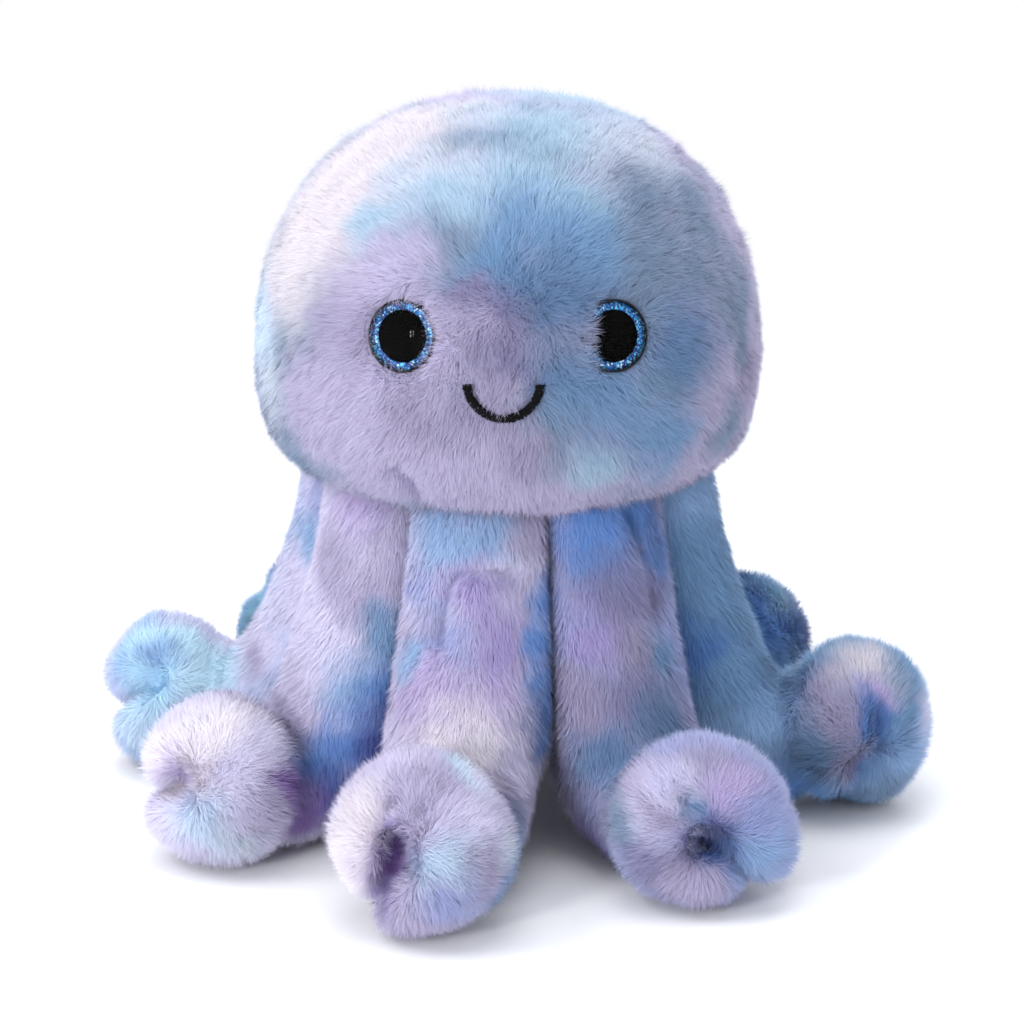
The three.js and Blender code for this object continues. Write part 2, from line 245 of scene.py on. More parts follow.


# Faux fur: fine acrylic fibres, brushed and tumbled into soft tufts. It scatters light widely and is paler at the
# sheared tips.
# Towards the roots its colour is painted darker, partly stronger dye and partly painted shade, and folds get painted
# shade too.
def dyedPile(name, ground, patches, secondGround):
    material, tree = newMaterial(name)
    place = attributeOf(tree, "dyePlace", "Vector")
    wander = texture(tree, "Noise", place, dye["wanderSize"], Detail=3.0, Roughness=0.6)
    centred = vectorNode(tree, "SUBTRACT", wander.outputs["Color"], (0.5, 0.5, 0.5))
    blurred = vectorNode(tree, "ADD", place, vectorNode(tree, "SCALE", centred, dye["wander"] * mm))
    cloud = texture(tree, "Noise", place, dye["cloudSize"], Detail=2.0)
    share = remap(tree, cloud.outputs["Fac"], (0.44, 0.68), smooth=True)
    colour = mixColours(tree, share, linear(dyes[ground]), linear(dyes[secondGround]))
    for x, y, z, radius, patchDye in patches:
        distance = vectorNode(tree, "DISTANCE", blurred, (x * mm, y * mm, z * mm))
        fade = dye["core"] * radius * mm, dye["edge"] * radius * mm
        near = remap(tree, distance, fade, (dye["strength"], 0.0), smooth=True)
        colour = mixColours(tree, near, colour, linear(dyes[patchDye]))
    # painted shade: the colour is darkened towards the roots, and in folds, creases and dimples through foldDepth
    rootDyeAndShade = remap(tree, attributeOf(tree, "alongFibre"), toRange=(1.0, 0.0))
    rootDyeAndShade = mathNode(tree, "MULTIPLY", rootDyeAndShade, dye["rootDepth"])
    deep = mathNode(tree, "MAXIMUM", rootDyeAndShade, attributeOf(tree, "foldDepth"))
    deepDyeAndPaintedShade = addNode(tree, "ShaderNodeGamma", {"Color": colour, "Gamma": dye["deepening"]}).outputs[0]
    shade = remap(tree, attributeOf(tree, "fibreTone"), toRange=(0.86, 1.08))
    colour = mixColours(tree, deep, colour, deepDyeAndPaintedShade)
    lit = addNode(tree, "ShaderNodeHueSaturation", {"Color": colour, "Value": shade})
    finishPrincipled(tree, {
        "Base Color": lit.outputs[0], "Roughness": 0.75, "Specular IOR Level": 0.18,
        "Sheen Weight": 0.35, "Sheen Roughness": 0.45, "Sheen Tint": (0.93, 0.95, 1.0, 1.0)})
    return material


# One fibre: a narrow blade, wide at its root, that comes to a point
def makeFibre():
    bm = bmesh.new()
    bmesh.ops.create_grid(bm, x_segments=1, y_segments=1, size=0.5)
    for vertex in bm.verts:
        atTip = vertex.co.x > 0
        vertex.co = Vector((-0.12, 0, 1)) if atTip else Vector((0, vertex.co.y, 0))
    bmesh.ops.remove_doubles(bm, verts=bm.verts, dist=0.001)
    bmesh.ops.recalc_face_normals(bm, faces=bm.faces)
    facing = sum((face.normal * face.calc_area() for face in bm.faces), Vector())
    if facing.x < 0:
        bmesh.ops.reverse_faces(bm, faces=bm.faces)
    mesh = bpy.data.meshes.new("fibre")
    bm.to_mesh(mesh)
    bm.free()
    storeOnPoints(mesh, "alongFibre", placesOf(mesh)[:, 2])
    return addObject("fibre", mesh)


fibre = makeFibre()


# Sows fibres on a cover and combs them: they lean with the nap, swirl a little and gather into tufts
def pileTree(name, seed, length):
    tree = bpy.data.node_groups.new(name, "GeometryNodeTree")
    for way in ("INPUT", "OUTPUT"):
        tree.interface.new_socket("Geometry", in_out=way, socket_type="NodeSocketGeometry")

    def stored(attribute, kind="FLOAT"):
        return addNode(tree, "GeometryNodeInputNamedAttribute", {"Name": attribute}, data_type=kind).outputs[0]

    def chance(offset, low, high):
        ends = {"Seed": seed + offset, 2: low, 3: high}
        return addNode(tree, "FunctionNodeRandomValue", ends, data_type="FLOAT").outputs[1]

    def store(geometry, attribute, value, kind):
        inputs = {"Geometry": geometry, "Name": attribute, "Value": value}
        return addNode(tree, "GeometryNodeStoreNamedAttribute", inputs, data_type=kind, domain="POINT").outputs[0]

    cover = addNode(tree, "NodeGroupInput").outputs[0]
    density = mathNode(tree, "MULTIPLY", stored("pileDensity"), pile["perSquareMillimetre"] * 1e6)
    roots = addNode(tree, "GeometryNodeDistributePointsOnFaces", {"Mesh": cover, "Density": density, "Seed": seed})
    out = roots.outputs["Normal"]
    here = addNode(tree, "GeometryNodeInputPosition").outputs[0]
    tumble = stored("tumble")

    # which way each fibre leans
    swirl = texture(tree, "Noise", here, pile["swirlSize"], Detail=2.0)
    swirled = vectorNode(tree, "SUBTRACT", swirl.outputs["Color"], (0.5, 0.5, 0.5))
    swirled = vectorNode(tree, "SCALE", swirled, mathNode(tree, "MULTIPLY", tumble, pile["swirl"]))
    tufts = texture(tree, "Voronoi", here, pile["tuftSize"])
    toTuft = vectorNode(tree, "SUBTRACT", tufts.outputs["Position"], here)
    drawn = vectorNode(tree, "SCALE", toTuft, pile["tuftPull"] / (pile["tuftSize"] * mm))
    locks = texture(tree, "Voronoi", here, pile["lockSize"])
    toLock = vectorNode(tree, "SUBTRACT", locks.outputs["Position"], here)
    pull = mathNode(tree, "MULTIPLY", tumble, pile["lockPull"] / (pile["lockSize"] * mm))
    gathered = vectorNode(tree, "SCALE", toLock, pull)
    stray = addNode(tree, "FunctionNodeRandomValue", {
        "Seed": seed + 3, 0: (-pile["stray"],) * 3, 1: (pile["stray"],) * 3}, data_type="FLOAT_VECTOR").outputs[0]
    leaning = vectorNode(tree, "SCALE", stored("nap", "FLOAT_VECTOR"), pile["lean"])
    for push in (swirled, drawn, gathered, stray):
        leaning = vectorNode(tree, "ADD", leaning, push)
    inward = vectorNode(tree, "SCALE", out, vectorNode(tree, "DOT_PRODUCT", leaning, out))
    risen = vectorNode(tree, "ADD", vectorNode(tree, "SUBTRACT", leaning, inward), out)
    aim = vectorNode(tree, "NORMALIZE", risen)

    # how long it is; one that would go through what the toy stands on is cut shorter
    reach = mathNode(tree, "MULTIPLY", chance(5, 0.72, 1.15), stored("pileLength"))
    reach = mathNode(tree, "MULTIPLY", reach, length * mm)
    room = mathNode(tree, "MAXIMUM", mathNode(tree, "SUBTRACT", axisOf(tree, here, 2), 0.3 * mm), 0.2 * mm)
    falling = mathNode(tree, "MAXIMUM", mathNode(tree, "SUBTRACT", 0.12, axisOf(tree, aim, 2)), 0.001)
    reach = mathNode(tree, "MINIMUM", reach, mathNode(tree, "DIVIDE", room, falling))

    # its place, turn and size, and how light it is
    turned = addNode(tree, "FunctionNodeAxesToRotation", {0: aim, 1: out}, primary_axis="Z", secondary_axis="X")
    twist = addNode(tree, "ShaderNodeCombineXYZ", {2: chance(7, -0.7, 0.7)})
    twisting = addNode(tree, "FunctionNodeEulerToRotation", {0: twist.outputs[0]})
    lie = addNode(tree, "FunctionNodeRotateRotation", {0: turned.outputs[0], 1: twisting.outputs[0]}, rotation_space="LOCAL")
    sized = addNode(tree, "ShaderNodeCombineXYZ", {0: reach, 1: pile["rootWidth"] * mm, 2: reach})
    tone = mathNode(tree, "MULTIPLY", axisOf(tree, tufts.outputs["Color"], 0), 0.4)
    tone = mathNode(tree, "ADD", tone, chance(11, 0.0, 0.6))
    marked = store(roots.outputs["Points"], "rootNormal", out, "FLOAT_VECTOR")
    marked = store(marked, "fibreTone", tone, "FLOAT")
    source = addNode(tree, "GeometryNodeObjectInfo", {"Object": fibre})
    sown = addNode(tree, "GeometryNodeInstanceOnPoints", {
        "Points": marked, "Instance": source.outputs["Geometry"], "Rotation": lie.outputs[0], "Scale": sized.outputs[0]})
    real = addNode(tree, "GeometryNodeRealizeInstances", {0: sown.outputs[0]})
    both = addNode(tree, "GeometryNodeJoinGeometry")
    tree.links.new(real.outputs[0], both.inputs[0])
    tree.links.new(cover, both.inputs[0])
    addNode(tree, "NodeGroupOutput", {0: both.outputs[0]})
    return tree


# Grows the pile on a cover, then shades each fibre mostly as the cover below it, the way dense pile looks
def growPile(piece, seed, length=None):
    modifier = piece.modifiers.new("pile", "NODES")
    modifier.node_group = pileTree(piece.name + "_pile", seed, length or pile["length"])
    finish = piece.data.materials[0]
    applyModifiers(piece)
    mesh = piece.data
    storeOnPoints(mesh, "dyePlace", placesOf(mesh))  # kept from rest, so that the dye moves with the fur
    faceCount = len(mesh.polygons)
    mesh.materials.clear()
    mesh.materials.append(finish)
    mesh.polygons.foreach_set("material_index", np.zeros(faceCount, np.int32))
    mesh.polygons.foreach_set("use_smooth", np.ones(faceCount, bool))
    root = readFrom(mesh.attributes["rootNormal"].data, "vector", len(mesh.vertices) * 3, np.float32)
    root = root.reshape(-1, 3).astype(float)
    alongs = readFrom(mesh.attributes["alongFibre"].data, "value", len(mesh.vertices), np.float32)
    own = normalsOf(mesh)
    onFibre = np.linalg.norm(root, axis=1) > 0.5
    mixed = own.copy()
    mixed[onFibre] = unit(pile["coverShare"] * root[onFibre] + (1 - pile["coverShare"]) * own[onFibre])
    for name in ("rootNormal", "nap", "pileLength", "pileDensity", "tumble"):
        mesh.attributes.remove(mesh.attributes[name])
    mesh.normals_split_custom_set_from_vertices(mixed.astype(np.float32))

    # a map for baking: each fibre and each face of the cover has a cell of its own, in rows
    starts = readFrom(mesh.polygons, "loop_start", faceCount, np.int32)
    totals = readFrom(mesh.polygons, "loop_total", faceCount, np.int32)
    vertexOf = readFrom(mesh.loops, "vertex_index", len(mesh.loops), np.int32)
    faceOf = np.repeat(np.arange(faceCount), totals)
    fibrous = onFibre[vertexOf[starts]]
    fibreCount = int(fibrous.sum())
    cell = np.where(fibrous, np.cumsum(fibrous) - 1, fibreCount + np.cumsum(~fibrous) - 1)
    side = math.ceil(math.sqrt(faceCount))
    square = np.array(((0.1, 0.1), (0.9, 0.1), (0.9, 0.9), (0.1, 0.9)))
    local = square[(np.arange(len(mesh.loops)) - starts[faceOf]) % 4]
    onCell = fibrous[faceOf]
    along = alongs[vertexOf[onCell]]
    local[onCell, 0] = 0.1 + 0.8 * along
    local[onCell, 1] = 0.5 + (vertexOf[onCell] % 2 - 0.5) * 0.8 * (1 - 0.9 * (along > 0.9))
    spots = np.stack((cell[faceOf] % side, cell[faceOf] // side), axis=1)
    layer = mesh.uv_layers.new(name="OFBake")
    layer.data.foreach_set("uv", ((spots + local) / side).astype(np.float32).ravel())
    mesh.update()
    print(piece.name, "fibres", fibreCount, "faces", faceCount)


# Head: a squashed ball, fuller below its widest line
head = {"radius": 80, "widest": 147, "crown": 81, "jaw": 41, "crownFullness": 2.33, "jawFullness": 3}


def headRadiusAt(height, inset=0.0):
    above = height > head["widest"]
    reach = np.where(above, head["crown"], head["jaw"]) - inset
    fullness = np.where(above, head["crownFullness"], head["jawFullness"])
    share = np.minimum(1, np.abs(height - head["widest"]) / reach)
    return (head["radius"] - inset) * (1 - share ** fullness) ** (1 / fullness)


eyes = {
    "radius": 11, "spacing": 65.4, "height": 171.4, "sink": 5, "face": 1.2, "rimWidth": 0.7, "rimTop": 3.1,
    "filmTop": 2.0, "pupilRadius": 7.7, "pupilTop": 2.25, "domeBottom": 2.4, "domeEdge": 3.0, "domeTop": 6.2,
    "postRadius": 2.2, "postLength": 15, "segments": 72, "seatDepth": 2.4,
}
smile = {
    "radius": 11.0, "height": 159.4, "offset": -1.3, "span": 172, "halfWidth": 1.15, "loft": 0.8, "sink": 0.5,
    "thread": 0.24, "stitches": 96, "pointsEach": 7,
}


def eyeMatrix(side):
    across = side * eyes["spacing"] / 2
    radius = float(headRadiusAt(eyes["height"]))
    forward = -math.sqrt(radius ** 2 - across ** 2)
    step = head["radius"] / 16
    slope = float(headRadiusAt(eyes["height"] + step) - headRadiusAt(eyes["height"] - step)) / (2 * step)
    normal = Vector((across / radius, forward / radius, -slope)).normalized()
    place = (Vector((across, forward, eyes["height"])) - normal * eyes["sink"]) * mm + toyMiddle
    return Matrix.Translation(place) @ Vector((0, 0, 1)).rotation_difference(normal).to_matrix().to_4x4()


def smilePoint(share):
    angle = -math.pi / 2 + math.radians(smile["span"]) * (share - 0.5)
    across = smile["offset"] + smile["radius"] * math.cos(angle)
    height = smile["height"] + smile["radius"] * math.sin(angle)
    radius = float(headRadiusAt(height))
    return Vector((across, -math.sqrt(radius ** 2 - across ** 2), height)) * mm + toyMiddle


headPatches = [
    (-55, -23, 206, 36, "blush"), (-66, -26, 189, 26, "blush"), (-77, -15, 158, 17, "ice"), (-74, -28, 143, 14, "frost"),
    (-29, -4, 224, 22, "blush"), (-9, -9, 227, 13, "frost"), (16, -18, 225, 22, "powder"), (40, -19, 217, 20, "frost"),
    (-41, -22, 216, 22, "blush"), (-30, -38, 214, 11, "frost"), (-40, -47, 201, 12, "powder"), (-9, -64, 197, 11, "slate"),
    (15, -55, 206, 12, "sky"), (-18, -40, 217, 14, "frost"), (-19, -52, 208, 16, "powder"), (3, -47, 214, 16, "powder"),
    (3, -59, 203, 16, "blue"), (-21, -61, 196, 12, "slate"), (24, -49, 209, 14, "powder"), (24, -60, 196, 18, "blue"),
    (42, -43, 203, 12, "slate"), (44, -53, 189, 16, "slate"), (58, -28, 198, 18, "slate"), (40, -38, 209, 12, "slate"),
    (69, -29, 173, 15, "slate"), (58, -41, 185, 11, "slate"), (55, -53, 166, 16, "denim"), (-3, -68, 190, 12, "blue"),
    (12, -70, 183, 15, "denim"), (-3, -73, 178, 11, "violet"), (-12, -70, 183, 8, "violet"),
    (-16, -73, 169, 13, "lavender"), (-1, -76, 164, 9, "violet"), (-33, -60, 190, 12, "lavender"),
    (-53, -55, 168, 16, "mauve"), (-59, -50, 151, 14, "lavender"), (-50, -59, 141, 15, "lavender"),
    (-63, -45, 135, 12, "lavender"), (-42, -61, 128, 13, "lavender"), (-27, -72, 145, 14, "mauve"),
    (-25, -70, 130, 12, "lavender"), (-9, -76, 148, 10, "mauve"), (-9, -71, 124, 12, "lavender"),
    (9, -72, 126, 15, "lavender"), (15, -75, 145, 14, "slate"), (27, -69, 130, 9, "powder"), (15, -75, 160, 11, "denim"),
    (30, -70, 153, 18, "blue"), (47, -60, 137, 14, "blue"), (67, -38, 133, 10, "slate"), (74, -24, 146, 11, "mauve"),
    (3, -76, 140, 9, "mauve"), (71, -30, 158, 9, "slate"), (40, 50, 190, 34, "powder"), (-30, 62, 180, 30, "lavender"),
    (10, 74, 140, 28, "blue"), (-60, 40, 140, 26, "lavender"), (66, 34, 145, 24, "slate"), (-55, 35, 200, 26, "frost"),
    (22, 26, 222, 28, "powder"), (-5, 70, 200, 18, "mauve"),
]

# The dart that takes up the cloth under the left cheek
dart = {"line": ((-34.2, -66.2, 129.3), (-30.1, -65.8, 124.4), (-27.0, -61.0, 115.5)), "width": 3.2, "depth": 4.2}


# The faces of a new sphere come in an order that changes from run to run. Laid again in a steady order, each one
# grows the same fibres every time.
def layFacesAgain(bm):
    bm.verts.index_update()
    rings = []
    for face in bm.faces:
        ring = [vertex.index for vertex in face.verts]
        first = ring.index(min(ring))
        rings.append(ring[first:] + ring[:first])
    bmesh.ops.delete(bm, geom=bm.faces[:], context="FACES_ONLY")
    bm.verts.ensure_lookup_table()
    for ring in sorted(rings):
        bm.faces.new([bm.verts[index] for index in ring])


def makeHead():
    bm = bmesh.new()
    bmesh.ops.create_uvsphere(bm, u_segments=128, v_segments=80, radius=1)
    layFacesAgain(bm)
    for vertex in bm.verts:
        up = vertex.co.z
        above = up > 0
        fullness = head["crownFullness"] if above else head["jawFullness"]
        reach = (head["crown"] if above else head["jaw"]) - pile["height"]
        ring = math.hypot(vertex.co.x, vertex.co.y)
        out = (head["radius"] - pile["height"]) * ring ** (2 / fullness)
        turn = math.atan2(vertex.co.y, vertex.co.x)
        height = head["widest"] + math.copysign(abs(up) ** (2 / fullness), up) * reach
        vertex.co = Vector((out * math.cos(turn), out * math.sin(turn), height)) * mm + toyMiddle
    piece = pieceFromBmesh(bm, "head_cover", dyedPile("faux fur, tie-dyed, head", "lavender", headPatches, "slate"))
    mesh = piece.data
    places, normals = placesOf(mesh) / mm, normalsOf(mesh)
    fromAxis = unit((places - np.array(toyMiddle) / mm) * (1, 1, 0))
    frontal = ramp(-places[:, 1], 10, 60)[:, None]
    overCrown = ramp(places[:, 2], 150, 205)[:, None] * ramp(-places[:, 1], -25, 15)[:, None]
    nap = np.array((0, 0, -1.0)) + 0.5 * fromAxis + overCrown * np.array((0, 2.0, 0))
    fromNose = places - np.array((-1.0, -70.0, 160.0))
    nap = nap + frontal * (ramp(np.linalg.norm(fromNose, axis=1), 0, 55)[:, None] * 0.9 * unit(fromNose) - 0.4 * nap)
    tall, density = np.ones(len(places)), np.ones(len(places))
    seat = np.zeros(len(places))
    for side in (-1, 1):
        matrix = eyeMatrix(side)
        centre = np.array(matrix.translation) / mm
        axis = np.array(matrix.to_3x3() @ Vector((0, 0, 1)))
        away = places - centre
        away = away - (away @ axis)[:, None] * axis
        distance = np.linalg.norm(away, axis=1)
        distance[places[:, 1] > 0] = 99
        close = bump(np.maximum(distance - 10, 0), 7)
        # the pile stands over the inner edge of the right eye and just hides the rim of the left one
        over = ramp(-away[:, 0], 4, 9) * (side > 0)
        towards = 0.25 * over if side > 0 else 0.05 + 0.1 * ramp(away[:, 0] + away[:, 2], 2, 12)
        nap = (1 - close)[:, None] * nap - (close * (towards - 0.7 * (side > 0) * (1 - over)))[:, None] * unit(away)
        edge = bump(np.maximum(distance - 10.6, 0), 3)
        tall *= 1 - edge * np.where(over > 0, 0.12 * over, 0.5)
        density *= 1 + 0.8 * edge * over
        density[distance < 10.6] = 0
        seat = np.maximum(seat, ramp(distance, 12.5, 9.5) * (1 - over))
    arc = np.array([smilePoint(i / 24) for i in range(25)]) / mm
    gaps = np.linalg.norm(places[:, None, :] - arc[None], axis=2)
    nearest, gap = gaps.argmin(axis=1), np.sqrt(np.maximum(gaps.min(axis=1) ** 2 - pile["height"] ** 2, 0))
    close = bump(np.maximum(gap - 1, 0), 3.0)[:, None]
    nap = (1 - close) * nap + close * unit(places - arc[nearest]) * 1.3
    tall *= 1 - 0.7 * bump(gap, 2.8)
    density[gap < 1.3] = 0
    under = places[:, 2] < head["widest"] - head["jaw"] + 12
    density[under & (np.hypot(places[:, 0], places[:, 1]) < 56)] = 0.2
    tuck = nearLine(places, dart["line"], dart["width"], pile["height"])
    nap = alongCover(nap, normals, 0.0)
    crown = ramp(places[:, 2], 165, 200) * ramp(places[:, 0], -40, 5)
    # the dart gets a shorter pile and painted shade in its dye, besides being pressed in below
    storePile(mesh, nap, tall * (1 - 0.4 * tuck), density, tuck, 1.0 + 0.5 * crown)
    movePlaces(mesh, (places - normals * (dart["depth"] * tuck + eyes["seatDepth"] * seat)[:, None]) * mm)
    growPile(piece, seed=11)
    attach(piece, "body")
    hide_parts("head")


makeHead()
print("head done")


# Eyes: moulded safety eyes, each a black back, a ring of glitter film, a black pupil and a clear cap
def plain(name, colour, roughness, **sockets):
    material, tree = newMaterial(name)
    settings = {"Base Color": linear(colour), "Roughness": roughness}
    settings.update({socket.replace("_", " "): value for socket, value in sockets.items()})
    finishPrincipled(tree, settings)
    return material


# Scratch-free injection moulding with a very fine orange peel, so its highlights are sharp but not a mirror's
def mouldedBlack(name, roughness):
    material, tree = newMaterial(name)
    peel = texture(tree, "Noise", objectPlace(tree), 1.2, Detail=2.0)
    raised = addNode(tree, "ShaderNodeBump", {"Height": peel.outputs["Fac"], "Strength": 0.04, "Distance": 0.1 * mm})
    uneven = remap(tree, peel.outputs["Fac"], toRange=(roughness * 0.8, roughness * 1.3))
    finishPrincipled(tree, {
        "Base Color": linear("#08080a"), "Roughness": uneven, "Specular IOR Level": 0.3, "Normal": raised.outputs[0]})
    return material


# Flakes of cut foil in blue lacquer: most are deep blue; some cyan and a few white flakes are painted glints, for
# flakes that catch the light
def glitterFilm():
    material, tree = newMaterial("glitter film, blue foil flakes")
    place = objectPlace(tree)
    flakes = texture(tree, "Voronoi", place, 0.5)
    drift = texture(tree, "Noise", place, 7, Detail=1.0)
    shift = remap(tree, drift.outputs["Fac"], (0.35, 0.65), (-0.22, 0.06))
    flakeToneAndGlint = mathNode(tree, "ADD", axisOf(tree, flakes.outputs["Color"], 0), shift)
    steps = addNode(tree, "ShaderNodeValToRGB", {0: flakeToneAndGlint})
    stops = steps.color_ramp
    stops.interpolation = "CONSTANT"
    # the cyan and white steps are painted glints
    foil = ((0.0, "#0b1c4e"), (0.22, "#123a86"), (0.42, "#1a63b4"), (0.6, "#2f93d6"), (0.76, "#62c4ee"), (0.9, "#d9f3fd"))
    for position, colour in foil[1:-1]:
        stops.elements.new(position)
    for element, (position, colour) in zip(stops.elements, foil):
        element.position, element.color = position, linear(colour)
    finishPrincipled(tree, {"Base Color": steps.outputs[0], "Roughness": 0.35, "Metallic": 0.35})
    return material


eyeFinishes = {
    "back": mouldedBlack("black plastic, moulded", 0.22),
    "glitter": glitterFilm(),
    # lacquer, dull under the cap, so that the pupil stays the darkest thing on the toy
    "pupil": plain("black lacquer under the cap", "#010102", 0.6, Specular_IOR_Level=0.01),
    # clear acrylic. Its index is set low, so that the white studio doesn't veil the pupil.
    "dome": plain("acrylic, clear and polished", "#ffffff", 0.0, Transmission_Weight=1.0, IOR=1.09),
}


# Turns an outline of (radius, height) points about the eye's axis
def turnedPiece(name, outline, matrix, material):
    bm = bmesh.new()
    points = [bm.verts.new((radius * mm, 0, height * mm)) for radius, height in outline]
    edges = [bm.edges.new(pair) for pair in zip(points[:-1], points[1:])]
    bmesh.ops.spin(bm, geom=points + edges, cent=(0, 0, 0), axis=(0, 0, 1), angle=2 * math.pi, steps=eyes["segments"],
                   use_merge=True, use_duplicate=False)
    bmesh.ops.remove_doubles(bm, verts=bm.verts, dist=0.001 * mm)
    bmesh.ops.recalc_face_normals(bm, faces=bm.faces)
    bmesh.ops.transform(bm, matrix=matrix, verts=bm.verts)
    return pieceFromBmesh(bm, name, material)


def arcPoints(centre, radii, start, end, steps):
    turns = [math.radians(start + (end - start) * i / steps) for i in range(steps + 1)]
    return [(centre[0] + radii[0] * math.cos(t), centre[1] + radii[1] * math.sin(t)) for t in turns]


def eyeOutlines():
    outside, inside = eyes["radius"], eyes["radius"] - eyes["rimWidth"]
    face, lip, post, pupilRadius = eyes["face"], eyes["rimWidth"] / 2, eyes["postRadius"], eyes["pupilRadius"]
    back = [(0, -eyes["postLength"]), (post - 0.5, -eyes["postLength"])]
    for ridge in range(8):  # the post is ridged, so that the washer locks on it
        height = -eyes["postLength"] + 0.5 + ridge * 1.7
        back += [(post, height), (post, height + 0.9), (post - 0.35, height + 1.2)]
    back += [(post, 0)] + arcPoints((outside - 0.5, 0.5), (0.5, 0.5), -90, 0, 4)
    back += arcPoints((outside - lip, eyes["rimTop"] - lip), (lip, lip), 0, 180, 8) + [(inside, face), (0, face)]
    floor, within, under = face + 0.05, inside - 0.02, pupilRadius - 0.4
    film = [(under, floor), (within, floor), (within, eyes["filmTop"]), (under, eyes["filmTop"] - 0.1), (under, floor)]
    pupil = [(0, floor), (pupilRadius, floor)]
    pupil += arcPoints((pupilRadius - 0.25, eyes["pupilTop"] - 0.25), (0.25, 0.25), 0, 90, 4)
    pupil += [(0, eyes["pupilTop"] + 0.05)]
    reach = inside - 0.1
    dome = [(0, eyes["domeBottom"])] + arcPoints((reach - 0.15, eyes["domeBottom"] + 0.15), (0.15, 0.15), -90, 0, 3)
    dome += arcPoints((0, eyes["domeEdge"]), (reach, eyes["domeTop"] - eyes["domeEdge"]), 0, 90, 14)
    dome[-1] = (0, eyes["domeTop"])
    return {"back": back, "glitter": film, "pupil": pupil, "dome": dome}


for sideName, side in (("left", -1), ("right", 1)):
    for part, outline in eyeOutlines().items():
        piece = turnedPiece(f"eye_{sideName}_{part}_turned", outline, eyeMatrix(side), eyeFinishes[part])
        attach(piece, "body")
        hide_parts(f"eye_{sideName}_{part}")
print("eyes done")


# Lock washers inside the head: plain moulded nylon with a faint milky mottle
washerFinish, tree = newMaterial("nylon, white, moulded")
mottle = texture(tree, "Noise", objectPlace(tree), 2, Detail=3.0)
milky = mixColours(tree, mottle.outputs["Fac"], linear("#e6e6e0"), linear("#f4f4ef"))
finishPrincipled(tree, {"Base Color": milky, "Roughness": 0.45})
for sideName in ("left", "right"):
    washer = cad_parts[f"eye_{sideName}_washer"].data
    washer.materials.clear()
    washer.materials.append(washerFinish)


# Rayon thread: black, with a soft sheen along its twist; the raised crests of the twist are also painted a little
# lighter, a painted sheen
def threadFinish():
    material, tree = newMaterial("rayon thread, black, satin-stitched")
    twist = texture(tree, "Wave", objectPlace(tree), 1.4, Distortion=1.5, Detail=1.0)
    twist.bands_direction = "DIAGONAL"
    raised = addNode(tree, "ShaderNodeBump", {"Height": twist.outputs["Fac"], "Strength": 0.3, "Distance": 0.05 * mm})
    # painted sheen: lighter colour on the raised crests of the twist
    twistTintAndSheen = mixColours(tree, twist.outputs["Fac"], linear("#030304"), linear("#0b0b0d"))
    finishPrincipled(tree, {
        "Base Color": twistTintAndSheen, "Roughness": 0.65, "Specular IOR Level": 0.1, "Normal": raised.outputs[0]})
    return material


# The smile: threads laid side by side across the arc, over a padding cord, no two quite alike
def makeSmile():
    chance = np.random.default_rng(5)
    curve = bpy.data.curves.new("smile_threads", "CURVE")
    curve.dimensions, curve.bevel_depth, curve.bevel_resolution = "3D", smile["thread"] * mm, 1
    curve.use_fill_caps = True

    def addThread(points, radius):
        spline = curve.splines.new("POLY")
        spline.points.add(len(points) - 1)
        for point, place in zip(spline.points, points):
            point.co, point.radius = (*place, 1), radius

    deep = Vector((0, 0.3 * smile["loft"] + smile["sink"], 0)) * mm
    addThread([smilePoint(i / 40) + deep for i in range(41)], 2.6)
    for stitch in range(smile["stitches"]):
        share = min(1, max(0, (stitch + chance.uniform(-0.3, 0.3)) / (smile["stitches"] - 1)))
        here = smilePoint(share)
        along = (smilePoint(min(1, share + 0.01)) - smilePoint(max(0, share - 0.01))).normalized()
        out = Vector((here - toyMiddle)[:2]).to_3d().normalized()
        across = along.cross(out).normalized()
        lean = chance.uniform(-0.12, 0.12)
        half = smile["halfWidth"] * chance.uniform(0.85, 1.18)
        points = []
        for i in range(smile["pointsEach"]):
            turn = math.pi * i / (smile["pointsEach"] - 1)
            points.append(here + (across * half * math.cos(turn) + along * lean * math.cos(turn)
                                  + out * (smile["loft"] * math.sin(turn) - smile["sink"])) * mm)
        addThread(points, chance.uniform(0.85, 1.1))
    threads = addObject("smile_threads", curve)
    bpy.context.view_layer.update()
    mesh = bpy.data.meshes.new_from_object(threads.evaluated_get(bpy.context.evaluated_depsgraph_get()))
    bpy.data.objects.remove(threads)
    mesh.materials.clear()
    mesh.materials.append(threadFinish())
    for polygon in mesh.polygons:
        polygon.use_smooth = True
        polygon.material_index = 0
    piece = addObject("smile_stitches", mesh)
    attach(piece, "body")
    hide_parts("smile_stitching")


makeSmile()
print("smile done")


# An even, soft cover for a CAD form, drawn in by the pile that will stand on it
def coverOf(node, name, material, fine, soften):
    bm = bmesh.new()
    bm.from_mesh(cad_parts[node].data)
    bmesh.ops.remove_doubles(bm, verts=bm.verts, dist=0.01 * mm)
    piece = pieceFromBmesh(bm, name, material)
    smoothed(piece, fine, soften)
    return piece


def smoothed(piece, fine, soften):
    even = piece.modifiers.new("even", "REMESH")
    even.mode, even.voxel_size, even.use_smooth_shade = "VOXEL", fine * mm, True
    soft = piece.modifiers.new("soft", "SMOOTH")
    soft.factor, soft.iterations = 0.5, soften
    applyModifiers(piece)


